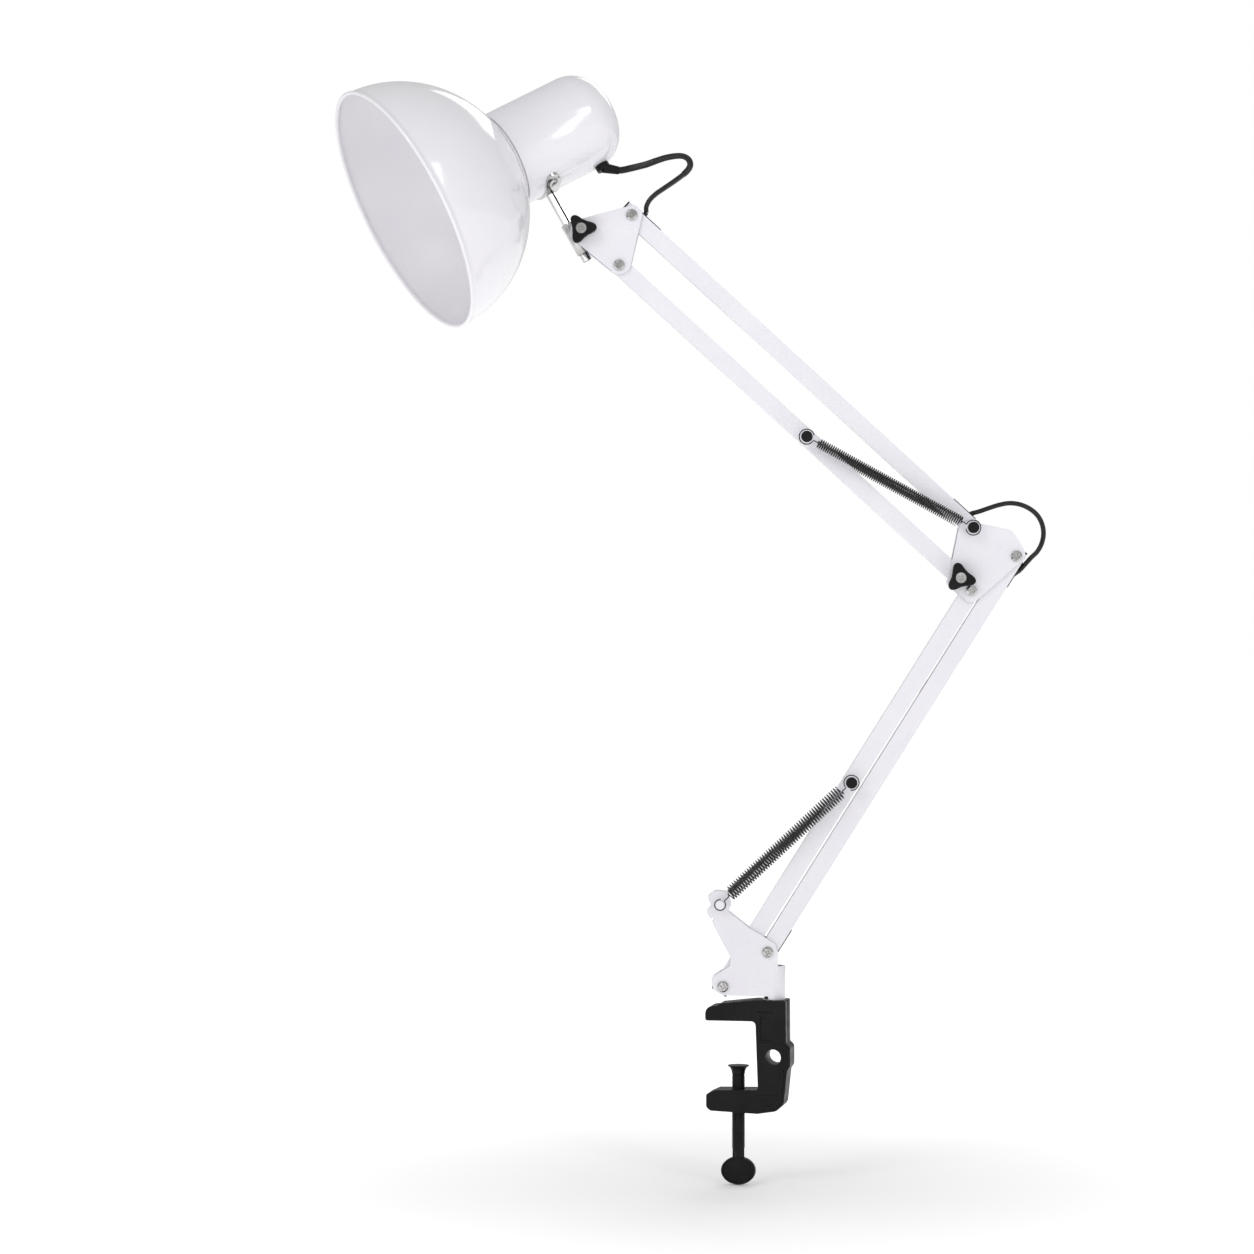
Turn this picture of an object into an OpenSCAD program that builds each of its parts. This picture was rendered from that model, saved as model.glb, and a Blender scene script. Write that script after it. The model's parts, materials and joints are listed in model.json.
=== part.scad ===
// Balanced arm desk lamp: a screw clamp, a folded bracket that swivels on it,
// two spring balanced parallelogram arms and a shade that tilts and swivels.
// The arms swing in the plane y = 0, and the viewer's side is -Y.
// The origin is on the desk face of the clamp, near the screw's axis.

/* [Clamp] */
// Depth of the clamp from front to back
clamp_depth = 20; // [18:0.5:22]
// Turn of the clamp about the stem, in degrees
clamp_yaw = -10; // [-20:1:0]
// Radius of the clamping screw
screw_r = 4.45; // [4:0.05:4.5]
// Width of the screw's oval handle
handle_w = 23.5; // [20:0.1:26]

/* [Arms] */
// Length of the lower arm, pivot to pivot
lower_arm = 316.5; // [314:0.5:319]
// Rise of the lower arm above level, in degrees
lower_rise = 57.9; // [57.5:0.1:58.3]
// Length of the upper arm, pivot to pivot
upper_arm = 313.5; // [311:0.5:316]
// Direction of the upper arm from level, in degrees
upper_rise = 137.4; // [137.1:0.1:137.7]
// Outside width of the square tubes
tube_w = 11.5; // [11:0.1:11.5]
// Wall of the square tubes
tube_wall = 1; // [0.8:0.1:1.2]
// Thickness of the bracket plates
plate_t = 1.5; // [1.2:0.1:1.6]

/* [Springs] */
// Outside radius of the lower springs' coils
lower_coil_r = 4.4; // [3.8:0.1:4.6]
// Outside radius of the upper springs' coils
upper_coil_r = 3.6; // [3.2:0.1:3.8]
// Radius of the spring wire
wire_r = 0.5; // [0.4:0.05:0.6]

/* [Head] */
// Direction of the head's rod from level, in degrees
rod_rise = 119.2; // [118:0.1:120]
// Turn of the head about its rod, in degrees
head_turn = 19; // [0:1:30]
// Outside radius of the cup
cup_r = 33.5; // [32:0.25:35]
// Outside radius of the shade
shade_r = 86.5; // [84:0.5:90]
// Depth of the full half dome that the shade is cut from
shade_depth = 83.5; // [82:0.5:88]
// Thickness of the cup's and shade's sheet
sheet_t = 1; // [0.8:0.1:1.2]

/* [Flex] */
// Thickness of the flat flex
flex_t = 3.4; // [3:0.1:3.6]

/* [Hidden] */
$fn = 48;

// Running clearance of a pin in its hole, and that of the pivots left open
fit = 0.05;
loose = 0.3;

// Bracket plates lie outside the tubes, with a gap on each side
plate_in = 6.5;
plate_out = plate_in + plate_t;

// Screws, nuts and posts that run across the arms
bolt_r = 2;
head_r = 3.8;
head_h = 2.6;
nut_r = 4;
nut_h = 3.2;
post_r = 2.5;
cap_r = 3.9;
spring_y = 13.2;
post_end = 15;
cap_end = 17.4;

// A point at a distance and direction, seen from the front: x right, z up
function polar(direction, reach) = reach * [cos(direction), sin(direction)];

// Pivots, as [x, z]
base_short = polar(37.7, 38.2);
elbow_short = polar(75.9, 35);
base_right = [20, 47];
base_left = base_right - base_short;
elbow_right = base_right + polar(lower_rise, lower_arm);
elbow_left = elbow_right - base_short;
elbow_top = elbow_right + [-29.5, 19.2];
elbow_low = elbow_top - elbow_short;
head_top = elbow_top + polar(upper_rise, upper_arm);
head_low = head_top - elbow_short;
head_knob_at = head_top + [-33.9, -9.8];

// Spring ends: an anchor pin on the bracket, and posts on the left and bottom tubes
anchor = [-12.2, 79.3];
lower_post_reach = 163.3;
upper_post_reach = 141;
lower_post_at = base_left + polar(lower_rise, lower_post_reach);
upper_post_at = elbow_low + polar(upper_rise, upper_post_reach);

// The head's rod passes beside the knob's bolt, and its line meets the cup's axis
rod_side = 6.6;
rod_reach = 67;
rod_foot = head_knob_at - polar(rod_rise - 90, rod_side);
head_at = rod_foot + polar(rod_rise, rod_reach);

// Stem of the bracket in the clamp
stem_x = 24.3;
stem_r = 5.4;
stem_top = 36;
stem_depth = 14;
clamp_top = 14.3;

// Slot liners: where the flex goes in and out of the tubes
slot_start = 1.5;
slot_l = 19;
slot_w = 7;
lip = 0.7;
lead_slot = 100;

// ---- Shared shapes ----

// Unit vector along v
function unit(v) = v / norm(v);

// Arc that rounds the corner at p between its neighbours a and b
function corner(a, p, b, r, n = 5) =
  let (u = unit(a - p), v = unit(b - p), half = acos(u * v) / 2,
       middle = p + unit(u + v) * r / sin(half), from = p + u * r / tan(half) - middle,
       turn = (cross(u, v) > 0 ? -1 : 1) * (180 - 2 * half))
  [for (i = [0:n]) let (k = i * turn / n)
    middle + [from.x * cos(k) - from.y * sin(k), from.x * sin(k) + from.y * cos(k)]];

// Outline from corners given as [x, z, radius]
function rounded(c) = [
  for (i = [0:len(c) - 1])
    let (a = c[(i + len(c) - 1) % len(c)], p = c[i], b = c[(i + 1) % len(c)])
    each p.z == 0 ? [[p.x, p.y]]
      : corner([a.x, a.y], [p.x, p.y], [b.x, b.y], p.z)
];

// Points of an ellipse
function ellipse(rx, ry, n = 36) = [for (i = [0:n - 1]) [rx * cos(i * 360 / n), ry * sin(i * 360 / n)]];

// An outline in x and z, made solid from y0 to y1
module across(y0, y1) translate([0, y1, 0]) rotate([90, 0, 0]) linear_extrude(y1 - y0) children();

// A round bar along Y at the point p
module pin(p, r, y0, y1) translate([p.x, y1, p.y]) rotate([90, 0, 0]) cylinder(r = r, h = y1 - y0);

// Frame with X along a line that starts at p
module along(p, direction) translate([p.x, 0, p.y]) rotate([0, -direction, 0]) children();

// Frame of the clamp, turned about the stem
module clamp_frame()
  translate([stem_x, 0, 0]) rotate([0, 0, clamp_yaw]) translate([-stem_x, 0, 0]) children();

// Frame of the head: +X along the rod, +Z out of the shade
module head_frame()
  translate([head_at.x, 0, head_at.y]) rotate([0, -rod_rise, 0]) rotate([head_turn, 0, 0]) children();

// Pan head screw with a cross recess, its head on the front plate
module pan_screw(p) difference() {
  union() {
    pin(p, bolt_r, -plate_out, 12);
    pin(p, head_r, -plate_out - 1.3, -plate_out);
    translate([p.x, -plate_out - 1.3, p.y]) rotate([90, 0, 0])
      cylinder(r1 = head_r, r2 = 2.6, h = head_h - 1.3);
  }
  for (a = [0, 90]) translate([p.x, -plate_out - head_h, p.y]) rotate([0, a + 20, 0])
    cube([3.8, 2.4, 0.9], center = true);
}

// Hexagon nut on the rear plate
module hex_nut(p) difference() {
  translate([p.x, plate_out + nut_h, p.y]) rotate([90, 0, 0]) cylinder(r = nut_r, h = nut_h, $fn = 6);
  pin(p, bolt_r + fit, plate_out - 1, plate_out + nut_h + 1);
}

// Caps on the two ends of a post
module post_caps(p) for (side = [-1, 1]) {
  near = side * post_end;
  far = side * cap_end;
  pin(p, cap_r, min(near, far), max(near, far));
}

// Square tube with X from one pivot to the other. Each end is [reach past the pivot, hole radius].
// A reach of 0 makes a round end about the pivot.
module square_tube(l, start, end) {
  half = tube_w / 2;
  inside = tube_w - 2 * tube_wall;
  difference() {
    union() {
      translate([-start[0], -half, -half]) cube([l + start[0] + end[0], tube_w, tube_w]);
      if (start[0] == 0) pin([0, 0], half, -half, half);
      if (end[0] == 0) pin([l, 0], half, -half, half);
    }
    translate([-10, -inside / 2, -inside / 2]) cube([l + 20, inside, inside]);
    pin([0, 0], start[1], -half - 1, half + 1);
    pin([l, 0], end[1], -half - 1, half + 1);
    children();
  }
}

// Square end plug: a cap over the tube's end with a core inside it
module square_plug(reach) {
  inside = tube_w - 2 * tube_wall;
  translate([-reach - 1.2, -tube_w / 2, -tube_w / 2]) cube([1.2, tube_w, tube_w]);
  translate([-reach, -inside / 2, -inside / 2]) cube([reach - bolt_r - 0.6, inside, inside]);
}

// Round end plug between the tube's front and rear walls
module round_plug() {
  inside = tube_w - 2 * tube_wall;
  across(-inside / 2, inside / 2) difference() {
    intersection() {
      circle(tube_w / 2);
      translate([-tube_w, -inside / 2]) square([tube_w, inside]);
    }
    circle(tube_w / 2 - 1.5);
  }
}

// Slot through a tube's lower face, its near end at x
module slot(x) translate([x, -slot_w / 2, -tube_w / 2 - 1]) cube([slot_l, slot_w, tube_wall + 2]);

// Liner of that slot: a thin frame with a lip outside
module slot_liner(x) difference() {
  union() {
    translate([x, -slot_w / 2, -tube_w / 2]) cube([slot_l, slot_w, tube_wall]);
    translate([x - 0.5, -slot_w / 2 - 0.5, -tube_w / 2 - lip]) cube([slot_l + 1, slot_w + 1, lip]);
  }
  translate([x + 1, -slot_w / 2 + 1, -tube_w / 2 - 2]) cube([slot_l - 2, slot_w - 2, 5]);
}

// Direction of a route at its point i
function heading(p, i) = unit(p[min(i + 1, len(p) - 1)] - p[max(i - 1, 0)]);

// Point near p, short of it on the way from q
function short_of(p, q) = p - 1.3 * unit(p - q);

// Tube with n sides swept along a route
module flex_tube(route, r = flex_t / 2, n = 8) {
  count = len(route);
  points = [for (i = [0:count - 1])
    let (d = heading(route, i), u = unit(cross([0, 1, 0], d)), v = cross(d, u))
    for (k = [0:n - 1]) route[i] + r * (cos(k * 360 / n) * u + sin(k * 360 / n) * v)];
  sides = [for (i = [0:count - 2]) for (k = [0:n - 1])
    [i * n + k, i * n + (k + 1) % n, (i + 1) * n + (k + 1) % n, (i + 1) * n + k]];
  ends = [[for (k = [0:n - 1]) n - 1 - k], [for (k = [0:n - 1]) (count - 1) * n + k]];
  polyhedron(points, concat(sides, ends));
}

// ---- Clamp ----

module clamp_body() color("#1c1c1e") clamp_frame() {
  half = clamp_depth / 2;
  outline = rounded([
    [-21.2, 0, 1.5], [13.3, 0, 3], [15, -46.6, 2], [-14.2, -47.1, 3], [-20.6, -50, 2],
    [-20.6, -58.8, 3], [-17.6, -61.2, 3], [14.7, -62.6, 5], [27.4, -60.6, 5], [32.6, -56, 5],
    [35, -33, 3], [37, -30, 2], [37, -17, 3], [34.2, -14.5, 1], [34, clamp_top, 1],
    [12, clamp_top, 6], [-11.5, 11.6, 1.5], [-13, 10.2, 1], [-21.2, 9.4, 5]
  ]);
  difference() {
    union() {
      across(-half, half) polygon(outline);
      // Boss plates round the cross hole, and the ribs at the elbow of the frame
      for (side = [-1, 1]) {
        y0 = side > 0 ? half : -half - 1;
        across(y0, y0 + 1) polygon(rounded([
          [15.2, -15, 1], [36.4, -15.5, 6], [36.4, -30.5, 6], [26, -36, 12], [15.6, -32, 6]
        ]));
        across(y0, y0 + 1) polygon(rounded([
          [14.6, -50.4, 0], [28.4, -50.4, 0], [31.6, -34, 0], [32.6, -34, 0], [30.6, -53, 4],
          [26.4, -58.6, 4], [16.6, -59.6, 0], [16.6, -58.2, 0], [24.6, -57.4, 3], [28.4, -53.4, 1.4],
          [27, -52, 0.8], [14.6, -52, 0]
        ]));
      }
      // Round boss over the stem
      translate([stem_x + 4.3, 0, -15]) cylinder(r = 6, h = clamp_top + 15);
    }
    translate([stem_x, 0, -stem_depth - 1]) cylinder(r = stem_r + fit, h = clamp_top + stem_depth + 2);
    pin([25.4, -24.1], stem_r + fit, -half - 2, half + 2);
    translate([0, 0, -70]) cylinder(r = screw_r + fit, h = 30);
    // Recessed panels, front and rear
    for (side = [-1, 1]) {
      y0 = side > 0 ? half - 1 : -half - 1;
      across(y0, y0 + 2) polygon(rounded([
        [16.4, -13.6, 1], [24.6, -13.6, 1], [24.6, 3.6, 1], [16.4, 3.6, 1]
      ]));
      across(y0, y0 + 2) polygon([[14.8, 5.6], [25.6, 5.6], [25.6, 7.2], [14.8, 7.2]]);
    }
  }
}

module clamp_pad() color("#1c1c1e") clamp_frame() difference() {
  translate([0, 0, -37]) rotate_extrude() polygon([
    [0, 0], [screw_r, 0], [screw_r, 1.2], [4.9, 3], [5.8, 4.6], [7.3, 5.6], [7.3, 6.1], [0, 6.1]
  ]);
  translate([0, 0, -38]) cylinder(r = 2.5 + fit, h = 4.2);
}

module clamp_screw() color("#1c1c1e") clamp_frame() {
  translate([0, 0, -37.1]) cylinder(r = 2.5, h = 3);
  translate([0, 0, -88]) cylinder(r = screw_r, h = 50.9);
  difference() {
    translate([0, 0, -94]) cylinder(r = 4.3, h = 6.5);
    for (i = [0:7]) rotate([0, 0, i * 45]) translate([5, 0, -94.5]) cylinder(r = 1.2, h = 6.5);
  }
  translate([0, 0, -102.6]) {
    across(-1.5, 1.5) polygon(ellipse(handle_w / 2, 9.5));
    across(-2.8, 2.8) difference() {
      polygon(ellipse(handle_w / 2, 9.5));
      polygon(ellipse(handle_w / 2 - 1.8, 7.7));
    }
  }
}

// ---- Swivelling bracket ----

// Outline of the bracket's plates, with the slotted ear that holds the spring pin
bracket_outline = rounded([
  [-17.5, 66.5, 1], [-15, 70.8, 0.6], [-19, 69.4, 1.5], [-21.4, 74, 2], [-18, 78.6, 0.8],
  [-21, 84, 2.5], [-15.5, 88.4, 3], [-6.5, 87.6, 3], [-4.5, 79, 2], [-6.6, 74.6, 0], [7.7, 63.2, 3],
  [16.6, 58, 3], [25, 52.4, 3], [27, 47, 2], [27, 37.3, 0], [24.3, 37.3, 0], [24.3, 14.7, 0],
  [20.8, 14.7, 0], [20.2, 17, 0], [-9.7, 17.6, 3], [-16.4, 21, 2], [-18.2, 26, 2],
  [-16.5, 30.4, 1], [-5.6, 37.4, 3], [-5, 43, 3]
]);

module base_bracket() color("#eceaee") difference() {
  union() {
    for (side = [-1, 1]) {
      y0 = side > 0 ? plate_in : -plate_out;
      across(y0, y0 + plate_t) polygon(bracket_outline);
    }
    // Bend that wraps the stem
    difference() {
      translate([stem_x, 0, 14.7]) cylinder(r = plate_out, h = 22.6);
      translate([stem_x, 0, 14]) cylinder(r = plate_in, h = 24);
      translate([stem_x - 20, -10, 14]) cube([20, 20, 24]);
    }
  }
  pin(base_right, bolt_r + fit, -10, 10);
  pin(base_left, bolt_r + fit, -10, 10);
  pin(anchor, bolt_r + fit, -10, 10);
}

module base_stem() color("silver") {
  translate([stem_x, 0, -stem_depth]) cylinder(r = stem_r, h = stem_top + stem_depth);
  translate([stem_x, 0, 14.7]) cylinder(r = plate_in - fit, h = stem_top - 14.7);
}

module stem_washer() color("#eceaee") difference() {
  translate([stem_x, 0, clamp_top + fit]) cylinder(r = plate_out, h = 0.4 - fit);
  translate([stem_x, 0, clamp_top - 1]) cylinder(r = stem_r + fit, h = 3);
}

module spring_anchor_pin() color("#eceaee") {
  pin(anchor, bolt_r, -post_end, post_end);
  for (side = [-1, 1]) pin(anchor, 2.8, side * (post_end + 0.6) - 0.6, side * (post_end + 0.6) + 0.6);
}

module base_screws() color("silver") for (p = [base_right, base_left]) pan_screw(p);
module base_nuts() color("silver") for (p = [base_right, base_left]) hex_nut(p);

// ---- Lower arm ----

module lower_bar_right() color("#eceaee") along(base_right, lower_rise)
  square_tube(lower_arm, [4.5, bolt_r + fit], [4.5, bolt_r + fit]) {
    slot(slot_start);
    slot(lower_arm - slot_start - slot_l);
    rotate([90, 0, 0]) slot(lead_slot);
  }

module lower_right_plugs() color("#1c1c1e") along(base_right, lower_rise) {
  square_plug(4.5);
  translate([lower_arm, 0, 0]) rotate([0, 180, 0]) square_plug(4.5);
}

module lower_slot_liners() color("#1c1c1e") along(base_right, lower_rise) {
  slot_liner(slot_start);
  slot_liner(lower_arm - slot_start - slot_l);
  rotate([90, 0, 0]) slot_liner(lead_slot);
}

module lower_bar_left() color("#eceaee") along(base_left, lower_rise)
  square_tube(lower_arm, [4, bolt_r + fit], [0, bolt_r + loose])
    pin([lower_post_reach, 0], post_r, -10, 10);

module lower_left_plugs() color("#1c1c1e") along(base_left, lower_rise) {
  square_plug(4);
  translate([lower_arm, 0, 0]) rotate([0, 180, 0]) round_plug();
}

module lower_spring_post() color("#eceaee") pin(lower_post_at, post_r, -post_end, post_end);
module lower_post_caps() color("#1c1c1e") post_caps(lower_post_at);

// ---- Springs, a front and a rear one on each arm ----

// Ring that a spring ends in, and the straight wire to the coil
module spring_ring(p, direction, y) {
  ring = 4.4;
  translate([p.x, y, p.y]) rotate([90, 0, 0]) rotate_extrude() translate([ring, 0]) circle(wire_r, $fn = 16);
  translate([0, y, 0]) along(p, direction) translate([ring, 0, 0]) rotate([0, 90, 0])
    cylinder(r = wire_r, h = 4);
}

// Coil between two posts, drawn as its outer shape, with the ring at its first end
module spring_coils(from, to, coil_r) {
  reach = norm(to - from);
  direction = atan2(to.y - from.y, to.x - from.x);
  for (side = [-1, 1]) {
    spring_ring(from, direction, side * spring_y);
    translate([0, side * spring_y, 0]) along(from, direction) translate([8.4, 0, 0]) rotate([0, 90, 0])
      cylinder(r = coil_r, h = reach - 16.8);
  }
}

module spring_hooks(from, to) {
  direction = atan2(from.y - to.y, from.x - to.x);
  for (side = [-1, 1]) spring_ring(to, direction, side * spring_y);
}

module lower_spring_coils() color("#151516") spring_coils(anchor, lower_post_at, lower_coil_r);
module lower_spring_hooks() color("#151516") spring_hooks(anchor, lower_post_at);

// ---- Elbow ----

elbow_outline = rounded([
  [-37.6, 24.8, 5], [-3, 17.6, 6], [7.8, 0.4, 6], [-28.6, -31.8, 6], [-33, -31, 4],
  [-46.6, -18.6, 3]
]);

module elbow_plate(y0) color("#eceaee") difference() {
  across(y0, y0 + plate_t) translate(elbow_right) polygon(elbow_outline);
  for (p = [elbow_right, elbow_left, elbow_low]) pin(p, bolt_r + fit, y0 - 1, y0 + 3);
  pin(elbow_top, post_r + fit, y0 - 1, y0 + 3);
}

module elbow_plate_front() elbow_plate(-plate_out);
module elbow_plate_rear() elbow_plate(plate_in);
module elbow_screws() color("silver") for (p = [elbow_right, elbow_left]) pan_screw(p);
module elbow_nuts() color("silver") for (p = [elbow_right, elbow_left, elbow_low]) hex_nut(p);
module elbow_post() color("#eceaee") pin(elbow_top, post_r, -post_end, post_end);
module elbow_post_caps() color("#1c1c1e") post_caps(elbow_top);

// ---- Clamping knobs ----

// Three lobed knob, with one lobe in the given direction
module tri_knob(p, direction) difference() {
  union() {
    across(-16.5, -11) translate(p) polygon([
      for (i = [0:47]) let (a = i * 7.5, r = 7.9 + 2.2 * cos(3 * a) + 0.4 * cos(6 * a))
        r * [cos(a + direction), sin(a + direction)]
    ]);
    pin(p, 5.2, -11, -plate_out - 0.1);
  }
  pin(p, bolt_r + fit, -20, 0);
}

// Bolt through the knob, the plates and the part between them
module knob_bolt(p) difference() {
  union() {
    pin(p, bolt_r, -16.5, 12);
    pin(p, 3.6, -18.4, -16.5);
  }
  for (a = [0, 90]) translate([p.x, -18.4, p.y]) rotate([0, a + 30, 0]) cube([3.6, 2, 0.9], center = true);
}

module elbow_knob() color("#1c1c1e") tri_knob(elbow_low, 105);
module elbow_knob_bolt() color("silver") knob_bolt(elbow_low);
module head_knob() color("#1c1c1e") tri_knob(head_knob_at, 6);
module head_knob_bolt() color("silver") knob_bolt(head_knob_at);

// ---- Upper arm ----

module upper_bar_top() color("#eceaee") along(elbow_top, upper_rise)
  square_tube(upper_arm, [4.5, post_r + fit], [6.8, bolt_r + fit]) {
    slot(slot_start + 1.5);
    slot(upper_arm - slot_start - slot_l);
  }

module upper_top_plugs() color("#1c1c1e") along(elbow_top, upper_rise) {
  square_plug(4.5);
  translate([upper_arm, 0, 0]) rotate([0, 180, 0]) square_plug(6.8);
}

module upper_slot_liners() color("#1c1c1e") along(elbow_top, upper_rise) {
  slot_liner(slot_start + 1.5);
  slot_liner(upper_arm - slot_start - slot_l);
}

module upper_bar_bottom() color("#eceaee") along(elbow_low, upper_rise)
  square_tube(upper_arm, [0, bolt_r + fit], [5.3, bolt_r + loose])
    pin([upper_post_reach, 0], post_r, -10, 10);

module upper_bottom_plugs() color("#1c1c1e") along(elbow_low, upper_rise) {
  round_plug();
  translate([upper_arm, 0, 0]) rotate([0, 180, 0]) square_plug(5.3);
}

module upper_spring_post() color("#eceaee") pin(upper_post_at, post_r, -post_end, post_end);
module upper_post_caps() color("#1c1c1e") post_caps(upper_post_at);
module upper_spring_coils() color("#151516") spring_coils(elbow_top, upper_post_at, upper_coil_r);
module upper_spring_hooks() color("#151516") spring_hooks(elbow_top, upper_post_at);

// ---- Head bracket ----

head_outline = rounded([
  [2.6, 7.2, 4], [7.6, 1.6, 4], [-3.4, -46, 7.5], [-41.5, -15, 4], [-41.5, -4.3, 5]
]);

module head_plate(y0) color("#eceaee") difference() {
  across(y0, y0 + plate_t) translate(head_top) polygon(head_outline);
  for (p = [head_top, head_low, head_knob_at]) pin(p, bolt_r + fit, y0 - 1, y0 + 3);
}

module head_plate_front() head_plate(-plate_out);
module head_plate_rear() head_plate(plate_in);
module head_screws() color("silver") for (p = [head_top, head_low]) pan_screw(p);
module head_nuts() color("silver") for (p = [head_top, head_low, head_knob_at]) hex_nut(p);

// ---- Rod and its clip ----

clip_r = 4.5;
rod_hole = 3.5;

// Split clip between the plates: it tilts on the knob's bolt and holds the rod
module rod_clip() color("silver") difference() {
  union() {
    along(rod_foot, rod_rise) translate([-14, 0, 0]) rotate([0, 90, 0]) cylinder(r = clip_r, h = 23);
    across(-6, 6) {
      translate(head_knob_at) circle(5);
      translate(head_knob_at) rotate(rod_rise) translate([-5, 0]) square([10, rod_side]);
    }
  }
  along(rod_foot, rod_rise) rotate([0, 90, 0]) cylinder(r = rod_hole, h = 40, center = true);
  pin(head_knob_at, bolt_r + fit, -10, 10);
}

// Folded rod: a channel with a slit along its front
module head_rod() color("silver") head_frame() difference() {
  tail = -rod_reach - 19.7;
  translate([tail, -2.3, -2.5]) cube([-cup_r - 1.5 - tail, 4.6, 5]);
  translate([tail - 1, -1.5, -1.7]) cube([80, 3, 3.4]);
  translate([tail - 1, -3, -1.6]) cube([80, 2, 1.2]);
}

// Saddle that wraps the cup at the rod's end, with a rivet in each round end
ear_at = 28;
module rod_saddle() color("silver") head_frame() difference() {
  intersection() {
    difference() {
      translate([0, 0, -5.5]) cylinder(r = cup_r + 1.5, h = 11);
      translate([0, 0, -10]) cylinder(r = cup_r, h = 20);
    }
    rotate([0, -90, 0]) linear_extrude(60) polygon(rounded([
      [-5.5, -22, 5], [5.5, -22, 5], [5.5, 22, 5], [-5.5, 22, 5]
    ]));
  }
  for (a = [-ear_at, ear_at]) rotate([0, -90, a]) cylinder(r = 2 + fit, h = 60);
}

module saddle_rivets() color("silver") head_frame() for (a = [-ear_at, ear_at]) rotate([0, -90, a]) {
  translate([0, 0, cup_r - sheet_t - 1]) cylinder(r = 2, h = sheet_t + 2.6);
  translate([0, 0, cup_r + 1.6]) cylinder(r1 = 3.4, r2 = 2.2, h = 1.2);
  translate([0, 0, cup_r - sheet_t - 2.4]) cylinder(r = 3.2, h = 1.4);
}

// ---- Cup and shade ----

cup_mouth = 18;
cup_end = -65;
cup_corner = 23;
vent_ring = 15;
gland_z = -41;
gland_turn = 8;

module lamp_cup() color("#f1f0f2") head_frame() difference() {
  rotate_extrude($fn = 96) difference() {
    union() {
      translate([0, cup_end + cup_corner]) square([cup_r, cup_mouth - cup_end - cup_corner]);
      translate([0, cup_end]) square([cup_r - cup_corner, cup_corner + 1]);
      intersection() {
        translate([cup_r - cup_corner, cup_end + cup_corner]) circle(cup_corner);
        translate([0, cup_end]) square([cup_r, cup_corner + 1]);
      }
    }
    translate([0, cup_end + cup_corner]) square([cup_r - sheet_t, 100]);
    translate([0, cup_end + sheet_t]) square([cup_r - cup_corner, cup_corner + 1]);
    intersection() {
      translate([cup_r - cup_corner, cup_end + cup_corner]) circle(cup_corner - sheet_t);
      translate([0, cup_end]) square([cup_r, cup_corner + 1]);
    }
  }
  for (i = [0:7]) rotate([0, 0, i * 45 + 22.5])
    translate([vent_ring, 0, cup_end - 5]) cylinder(r = 2.4, h = 30);
  for (a = [-ear_at, ear_at]) rotate([0, -90, a]) cylinder(r = 2 + fit, h = 60);
  translate([0, 0, gland_z]) rotate([0, -90, gland_turn]) cylinder(r = 3.5 + fit, h = 60);
}

shade_rim = cup_mouth + 79;

// Arc of the dome's section, as [radius, height], between two angles from the axis
function dome(inset, from, to, n = 18) =
  [for (i = [0:n]) let (a = from + (to - from) * i / n)
    [(shade_r - inset) * sin(a), shade_rim - (shade_depth - inset) * cos(a)]];

// Dome with a collar inside the cup and a rolled rim
module lamp_shade() color("#f1f0f2") head_frame() {
  neck = cup_r - sheet_t - fit;
  throat = asin((cup_r + 0.2) / shade_r);
  rotate_extrude($fn = 128) {
    polygon(concat(dome(0, throat, 90), dome(sheet_t, 90, throat - 1.5)));
    translate([neck - 1, 8]) square([1, 12.6]);
    translate([20.3, 8]) square([neck - 20.3, 1]);
    translate([shade_r - sheet_t / 2, shade_rim]) circle(1.3);
  }
}

module shade_ring() color("#f4f4f2") head_frame() difference() {
  translate([0, 0, 9.05]) cylinder(r = 25, h = 4);
  translate([0, 0, 8]) cylinder(r = 20 + fit, h = 6);
}

module lamp_socket() color("#f4f4f2") head_frame() difference() {
  union() {
    translate([0, 0, -34]) cylinder(r = 23, h = 42);
    translate([0, 0, 7]) cylinder(r = 20, h = 9);
  }
  translate([0, 0, -26]) cylinder(r = 13.6, h = 60);
}

module socket_shell() color("#c9a850") head_frame() {
  difference() {
    translate([0, 0, -24]) cylinder(r = 13.55, h = 38);
    translate([0, 0, -25]) cylinder(r = 13.1, h = 40);
  }
  translate([0, 0, -26]) cylinder(r = 4, h = 1.5);
}

// Strap across the cup that the socket is screwed to, with its two screws
module socket_bracket() color("silver") head_frame() {
  difference() {
    union() {
      translate([-8, -cup_r + sheet_t + 1.2, -35.5]) cube([16, 2 * (cup_r - sheet_t - 1.2), 1.5]);
      for (side = [-1, 1]) translate([-8, side * (cup_r - sheet_t - 1.8) - 0.6, -35.5]) cube([16, 1.2, 9]);
    }
    cylinder(r = 4, h = 90, center = true);
  }
  for (side = [-1, 1]) translate([0, side * 14, -37]) cylinder(r = 3, h = 1.5);
}

// Slanted gland where the flex enters the cup
module cord_gland() color("#1c1c1e") head_frame() rotate([0, 0, gland_turn]) difference() {
  union() {
    translate([0, 0, gland_z]) rotate([0, -90, 0]) {
      translate([0, 0, cup_r - 2]) cylinder(r = 3.5, h = 3);
      translate([0, 0, cup_r + 0.3]) cylinder(r = 5, h = 3.6);
    }
    translate([-cup_r - 2.5, 0, gland_z]) rotate([0, 218, 0]) cylinder(r1 = 3.6, r2 = 2.7, h = 11);
  }
  translate([-cup_r - 2.5, 0, gland_z]) rotate([0, 218, 0])
    translate([0, 0, 4]) cylinder(r = flex_t / 2 + 0.2, h = 20);
}

// ---- Flex ----

function place(p, direction, q) =
  [p.x + q.x * cos(direction) - q.z * sin(direction), q.y, p.y + q.x * sin(direction) + q.z * cos(direction)];

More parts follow.
